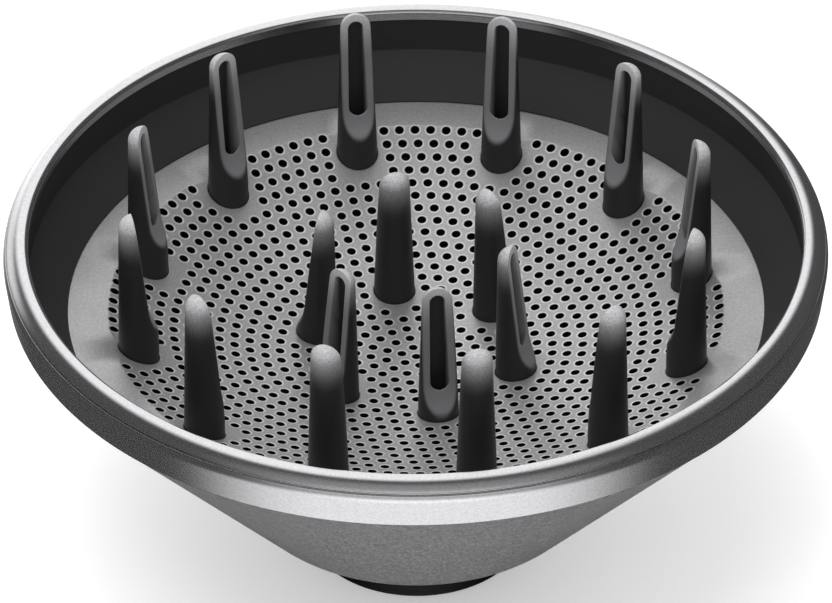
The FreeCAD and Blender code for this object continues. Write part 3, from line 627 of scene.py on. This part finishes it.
def blasted_aluminium(name):
    """Bead-blasted aluminium: a fine even grain, with a painted highlight round each small hole and painted
    shade on its wall.

    It gives the eye a soft grey sheen, a bright thin ring round each hole and a dark hole wall."""
    material, out = new_material(name)
    where = node(material, "TexCoord").outputs["Object"]
    grain = node(material, "TexNoise", {"Scale": 1 / (BLAST_GRAIN * MM), "Detail": 2.0, "Roughness": 0.7},
                 {"Vector": where})
    cloud = node(material, "TexNoise", {"Scale": 1 / (BLAST_CLOUD * MM), "Detail": 2.0}, {"Vector": where})
    hole_light_mark = node(material, "Attribute", {"attribute_name": "hole_highlight_and_wall_shade"}).outputs["Fac"]
    # Painted shade: walls marked -1 are mixed to near black 161616. Painted highlight: rings marked 1 are
    # mixed to near white f4f4f4.
    wall = node(material, "MapRange", {"From Max": -0.1}, {"Value": hole_light_mark})
    base = node(material, "MixRGB", {1: linear("9e9e9f"), 2: linear("e0e0e1")}, {0: grain.outputs["Fac"]})
    ring_highlighted = node(material, "MixRGB", {2: linear("f4f4f4")}, {0: hole_light_mark, 1: base.outputs[0]})
    wall_shaded = node(material, "MixRGB", {2: linear("161616")}, {0: wall.outputs[0], 1: ring_highlighted.outputs[0]})
    gloss = node(material, "MapRange", {"To Min": 0.38, "To Max": 0.52}, {"Value": cloud.outputs["Fac"]})
    bump = node(material, "Bump", {"Strength": 0.25, "Distance": BLAST_RELIEF * MM},
                {"Height": grain.outputs["Fac"]})
    skin = node(material, "BsdfPrincipled", {"Metallic": 0.75},
                {"Base Color": wall_shaded.outputs[0], "Roughness": gloss.outputs[0], "Normal": bump.outputs[0]})
    material.node_tree.links.new(skin.outputs[0], out.inputs[0])
    return material


PLATE_METAL = blasted_aluminium("bead-blasted aluminium")
make_plate()


# Prongs: hollow fingers moulded in charcoal ABS. Each has an upright back, a round tip and a leaning
# flat face with a long slot that lets air out; the face runs out in a curve above the round foot. The
# outer ring's faces look in at the axis, and the inner ring's look out.
TIP_RADIUS = 2.6
TIP_BACK = 0.45
FACE_LENGTH = 15.6
FACE_LEAN = math.radians(6.5)
RUNOUT = 12.0
SLOT_TOP_GAP = 1.4
SLOT_LENGTH = 18.0
SLOT_TOP_WIDTH = 2.6
SLOT_FOOT_WIDTH = 3.2
BACK_WALL = 1.6
EDGE_SOFT = 0.3
RIM_SOFT = 0.14
FLANGE_RADIUS = 4.2
CHANNEL_DROP = 8.0
OUTER_TALL = 28.2
INNER_TALL = 25.2
FLANGE = 1.2
FLANGE_EDGE = 0.15
ROOT = 0.5
LOW_END = 3.0
ROW_STEP = 0.4
CAP_ROWS = 22
SLOT_END_ROWS = 12
FLAT_ROWS = 20
TAPER_START = 0.6 * FOOT_RADIUS
SLOT_REGION = 2.0
INSIDE = -1e-3
TIP_HIGHLIGHT_BELOW = 6.0
TIP_HIGHLIGHT_RUN = 8.4
PRONG_GRAIN = 0.25
PRONG_RELIEF = 0.04


def face_place(height, tip_height):
    """How far forward the cut face stands at each height: a leaning flat, then a round run-out."""
    tip_middle = tip_height - TIP_RADIUS
    flat_end = tip_middle - FACE_LENGTH * math.cos(FACE_LEAN)
    flat = -TIP_BACK + (tip_middle - height) * math.tan(FACE_LEAN)
    centre_x = -TIP_BACK + FACE_LENGTH * math.sin(FACE_LEAN) + RUNOUT * math.cos(FACE_LEAN)
    centre_z = flat_end + RUNOUT * math.sin(FACE_LEAN)
    fall = np.clip(centre_z - height, 0, 0.98 * RUNOUT)
    curve = centre_x - np.sqrt(RUNOUT ** 2 - fall ** 2)
    return np.where(height > flat_end, flat, curve)


def slot_half_width(height, low, high):
    """Half the slot's width: a straight taper between its ends, and a half circle at each end."""
    share = np.clip((height - low) / (high - low), 0, 1)
    straight = (SLOT_FOOT_WIDTH + (SLOT_TOP_WIDTH - SLOT_FOOT_WIDTH) * share) / 2
    foot, top = SLOT_FOOT_WIDTH / 2, SLOT_TOP_WIDTH / 2
    near_low = foot ** 2 - np.clip(low + foot - height, 0, None) ** 2
    near_high = top ** 2 - np.clip(height - high + top, 0, None) ** 2
    ends = np.sqrt(np.clip(np.minimum(near_low + straight ** 2 - foot ** 2,
                                      near_high + straight ** 2 - top ** 2), 0, None))
    return np.minimum(straight, ends)


def prong_surface(tip_height, tilt):
    """Grid of a prong about its foot: rows go up from the flange to the tip, columns go round.

    Each section is a circle cut by the face: from a middle between back and face, the reach along
    each direction is the soft minimum of the reach to the circle and to the face. Columns near the
    front follow the slot's sides, and points inside the slot sink to its back."""
    tip_middle = tip_height - TIP_RADIUS
    slot_high = tip_height - SLOT_TOP_GAP
    slot_low = slot_high - SLOT_LENGTH
    foot_end = slot_low + SLOT_FOOT_WIDTH / 2
    top_end = slot_high - SLOT_TOP_WIDTH / 2
    quarter = np.linspace(0, math.pi / 2, SLOT_END_ROWS)
    cap_turn = np.linspace(0, math.pi / 2 - FACE_LEAN, CAP_ROWS)
    cap = tip_middle + TIP_RADIUS * np.sin(cap_turn)
    body = np.concatenate([
        np.linspace(-ROOT, LOW_END, 6), np.arange(LOW_END + ROW_STEP, slot_low - ROW_STEP / 2, ROW_STEP),
        [slot_low - RIM_SOFT, slot_low - RIM_SOFT / 3],
        slot_low + (foot_end - slot_low) * (1 - np.cos(quarter)),
        np.linspace(foot_end, tip_middle, FLAT_ROWS)[1:]])
    sphere_rows = np.unique(np.concatenate([
        cap, [slot_high + RIM_SOFT, slot_high + RIM_SOFT / 3],
        top_end + (slot_high - top_end) * np.sin(quarter)]))
    sphere_rows = sphere_rows[sphere_rows > tip_middle + 0.05]
    height = np.concatenate([body, sphere_rows])
    cone_share = np.clip((height - TAPER_START) / (tip_middle - TAPER_START), 0, 1)
    middle = -TIP_BACK * cone_share
    radius = FOOT_RADIUS + (TIP_RADIUS - FOOT_RADIUS) * cone_share
    above = np.clip(height - tip_middle, 0, TIP_RADIUS)
    radius = np.where(height > tip_middle, np.sqrt(TIP_RADIUS ** 2 - above ** 2), radius)

    face = face_place(height, tip_height)
    front = np.minimum(face, middle + radius)
    centre = (middle - radius + front) / 2
    reach_front = np.maximum(front - centre, 1e-4)
    chord = np.sqrt(np.clip(radius ** 2 - (front - middle) ** 2, 0, None))
    half_width = np.where((height > slot_low) & (height < slot_high),
                          slot_half_width(height, slot_low, slot_high), 0.0)
    inner = np.array([0.0, 0.35, 0.7, 0.92, 1.0])
    spread = np.minimum(np.maximum(half_width, 0.15), 0.8 * radius)
    across = [spread * s for s in inner]
    across += [spread + RIM_SOFT * 0.12, spread + RIM_SOFT * 0.45, spread + RIM_SOFT]
    slot_turns = np.stack([np.arctan2(a, reach_front) for a in across], 1)
    last = slot_turns[:, -1:]
    corner = np.maximum(np.arctan2(chord, reach_front)[:, None], last + 0.25)
    toward = last + (corner - last) * (1 - (1 - np.linspace(0, 1, 9)[1:]) ** 1.6)
    beyond = corner + (math.pi - corner) * np.linspace(0, 1, 17)[1:] ** 1.4
    half_turns = np.concatenate([slot_turns, toward, beyond], 1)
    turns = np.concatenate([half_turns, -half_turns[:, -2:0:-1]], 1)

    offset = (centre - middle)[:, None]
    cos, sin = np.cos(turns), np.sin(turns)
    to_circle = -offset * cos + np.sqrt(np.clip(radius[:, None] ** 2 - (offset * sin) ** 2, 0, None))
    to_face = np.where(cos > 0.02, (face - centre)[:, None] / np.maximum(cos, 0.02), 1e3)
    soft = EDGE_SOFT * np.clip(radius[:, None] / TIP_RADIUS, 0.05, 1)
    mix = np.clip(0.5 + 0.5 * (to_circle - to_face) / soft, 0, 1)
    reach = to_circle * (1 - mix) + to_face * mix - soft * mix * (1 - mix)
    x = centre[:, None] + reach * cos
    y = reach * sin
    z = np.repeat(height[:, None], turns.shape[1], 1)

    is_front = (cos > 0) & (np.abs(y) < SLOT_REGION)
    foot, top = SLOT_FOOT_WIDTH / 2, SLOT_TOP_WIDTH / 2
    share = np.clip((z - foot_end) / (top_end - foot_end), 0, 1)
    away = np.hypot(y, z - (foot_end + share * (top_end - foot_end)))
    inside = foot + (top - foot) * share - away
    lip = np.clip((inside + RIM_SOFT) / RIM_SOFT, 0, 1)
    sink = RIM_SOFT * (1 - np.sqrt(np.clip(1 - lip ** 2, 0, 1)))
    floor_x = BACK_WALL - FOOT_RADIUS + (FOOT_RADIUS - TIP_RADIUS - TIP_BACK) * cone_share[:, None]
    hollow = is_front & (inside > INSIDE)
    x = np.where(hollow, floor_x, np.where(is_front, x - sink, x))

    depth = np.clip((z - slot_low) / SLOT_LENGTH, 0, 1)
    z = np.where(hollow, z - CHANNEL_DROP * (1 - depth) ** 1.5, z)
    # Painted highlight mask: the soft edge round the face, where its rounding catches light, is to be drawn
    # paler.
    border = np.where(is_front | (cos > 0), mix * (z < tip_height), 0.0) * (z > 0.5)
    border = np.where(hollow, 0.0, border)
    # Painted highlight mask: rises towards the tip over its top few millimetres.
    tip_highlight = np.clip((z - tip_middle + TIP_HIGHLIGHT_BELOW) / TIP_HIGHLIGHT_RUN, 0, 1) ** 2 * ~hollow

    under = -SHEET - FLANGE
    flange = [(under, 0.0), (under, FLANGE_RADIUS - FLANGE_EDGE), (under + FLANGE_EDGE, FLANGE_RADIUS),
              (-SHEET - FLANGE_EDGE, FLANGE_RADIUS), (-SHEET, FLANGE_RADIUS - FLANGE_EDGE),
              (-SHEET, FOOT_RADIUS)]
    level, distance = np.array(flange).T[:, :, None]
    px, py = distance * np.cos(turns[:1]), distance * np.sin(turns[:1])
    grid = np.concatenate([np.stack([px, py, level + px * tilt], 2), np.stack([x, y, z], 2)])
    marks = np.concatenate([np.zeros(px.shape + (2,)), np.stack([border, tip_highlight], 2)])
    return grid, marks


def make_prong(name, ring, angle, grid, marks, facing, material):
    """Sets a prong's grid on the plate, slot towards the axis or away, and closes both its poles."""
    heading = angle + (math.pi if facing > 0 else 0.0)
    cos, sin = math.cos(heading), math.sin(heading)
    x = grid[..., 0] * cos - grid[..., 1] * sin + ring * math.cos(angle)
    y = grid[..., 0] * sin + grid[..., 1] * cos + ring * math.sin(angle)
    z = grid[..., 2] + float(plate_height(np.array(ring)))
    rows, columns = grid.shape[:2]
    places = np.stack([x, y, z], 2).reshape(-1, 3)
    faces = grid_faces(rows, columns).tolist()
    top = places[-columns:].mean(0)
    bottom = places[:columns].mean(0)
    keep = places[columns:]
    faces = [[i - columns for i in f] for f in faces if min(f) >= columns]
    places = np.concatenate([keep, [top, bottom]])
    final = len(keep) - columns
    for j in range(columns):
        after = (j + 1) % columns
        faces.append([final + j, final + after, len(keep)])
        faces.append([after, j, len(keep) + 1])
    made = piece(name + "_finger", places, faces, material, [name])
    values = np.concatenate([marks.reshape(-1, 2)[columns:], [[0, 1], [0, 0]]]).astype(np.float32)
    # Two painted highlight marks ride on the mesh: the frame round the slot and the tip, whose top pole is
    # fully marked.
    for mark, column in (("border_highlight_and_gloss", 0), ("painted_tip_highlight", 1)):
        attribute = made.data.attributes.new(mark, "FLOAT", "POINT")
        attribute.data.foreach_set("value", values[:, column].copy())
    return made


def prong_plastic(name):
    """Charcoal ABS with a fine skin; painted highlights make the frame round the slot and the tip paler.

    It gives the eye near-black sides, a grey frame round the slot and a pale, speckled tip."""
    material, out = new_material(name)
    where = node(material, "TexCoord").outputs["Object"]
    grain = node(material, "TexNoise", {"Scale": 1 / (PRONG_GRAIN * MM), "Detail": 2.0, "Roughness": 0.7},
                 {"Vector": where})
    border = node(material, "Attribute", {"attribute_name": "border_highlight_and_gloss"}).outputs["Fac"]
    tip = node(material, "Attribute", {"attribute_name": "painted_tip_highlight"}).outputs["Fac"]
    dark = node(material, "MixRGB", {1: linear("1c1c1d"), 2: linear("2e2e2f")}, {0: grain.outputs["Fac"]})
    # Painted highlight: the frame round the slot is mixed toward grey 747476; it also has a lower roughness.
    border_lit = node(material, "MixRGB", {2: linear("747476")}, {0: border, 1: dark.outputs[0]})
    speck = node(material, "MapRange", {"From Min": 0.2, "From Max": 0.75, "To Min": 0.35},
                 {"Value": grain.outputs["Fac"]})
    share = node(material, "Math", {"operation": "MULTIPLY"}, {0: tip, 1: speck.outputs[0]})
    # Painted highlight: the tip is mixed toward pale grey d2d2d4, speckled by the grain.
    tip_highlight = node(material, "MixRGB", {2: linear("d2d2d4")}, {0: share.outputs[0], 1: border_lit.outputs[0]})
    gloss = node(material, "MapRange", {"To Min": 0.42, "To Max": 0.3}, {"Value": border})
    bump = node(material, "Bump", {"Strength": 0.4, "Distance": PRONG_RELIEF * MM},
                {"Height": grain.outputs["Fac"]})
    skin = node(material, "BsdfPrincipled", {"IOR": 1.5},
                {"Base Color": tip_highlight.outputs[0], "Roughness": gloss.outputs[0], "Normal": bump.outputs[0]})
    material.node_tree.links.new(skin.outputs[0], out.inputs[0])
    return material


PRONG_ABS = prong_plastic("charcoal prong ABS")
shapes = {}
for kind, tall, ring, facing in (("outer", OUTER_TALL, OUTER_RING, 1),
                                 ("inner", INNER_TALL, INNER_RING, -1)):
    tilt = -facing * ring / math.sqrt(DISH_SPHERE ** 2 - ring ** 2)
    shapes[kind] = (*prong_surface(tall, tilt), facing)
for name, ring, angle in PRONGS:
    make_prong(name, ring, angle, *shapes[name[:5]], PRONG_ABS)


# Inside pieces: funnel, deflector and retainer in plain black ABS, a silicone gasket and zinc-plated
# screws. They keep their CAD shapes; only the screw heads and the collar's bore show, from below.
INNER_ABS = moulded("black inner ABS", linear("1b1b1b"), 0.55, 0.5, 0.2)
SILICONE = moulded("black silicone", linear("1f1f20"), 0.7, 0.6, 0.15, 0.4)
ZINC = flake_paint("zinc-plated steel", linear("b8babd"), 1.0, 0.3, 0.15, 0.1, 0.1)
for name, finish in (("funnel", INNER_ABS), ("flow_deflector", INNER_ABS), ("prong_retainer", INNER_ABS),
                     ("outlet_gasket", SILICONE), ("collar_screws", ZINC)):
    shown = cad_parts[name]
    shown.data.materials.clear()
    shown.data.materials.append(finish)
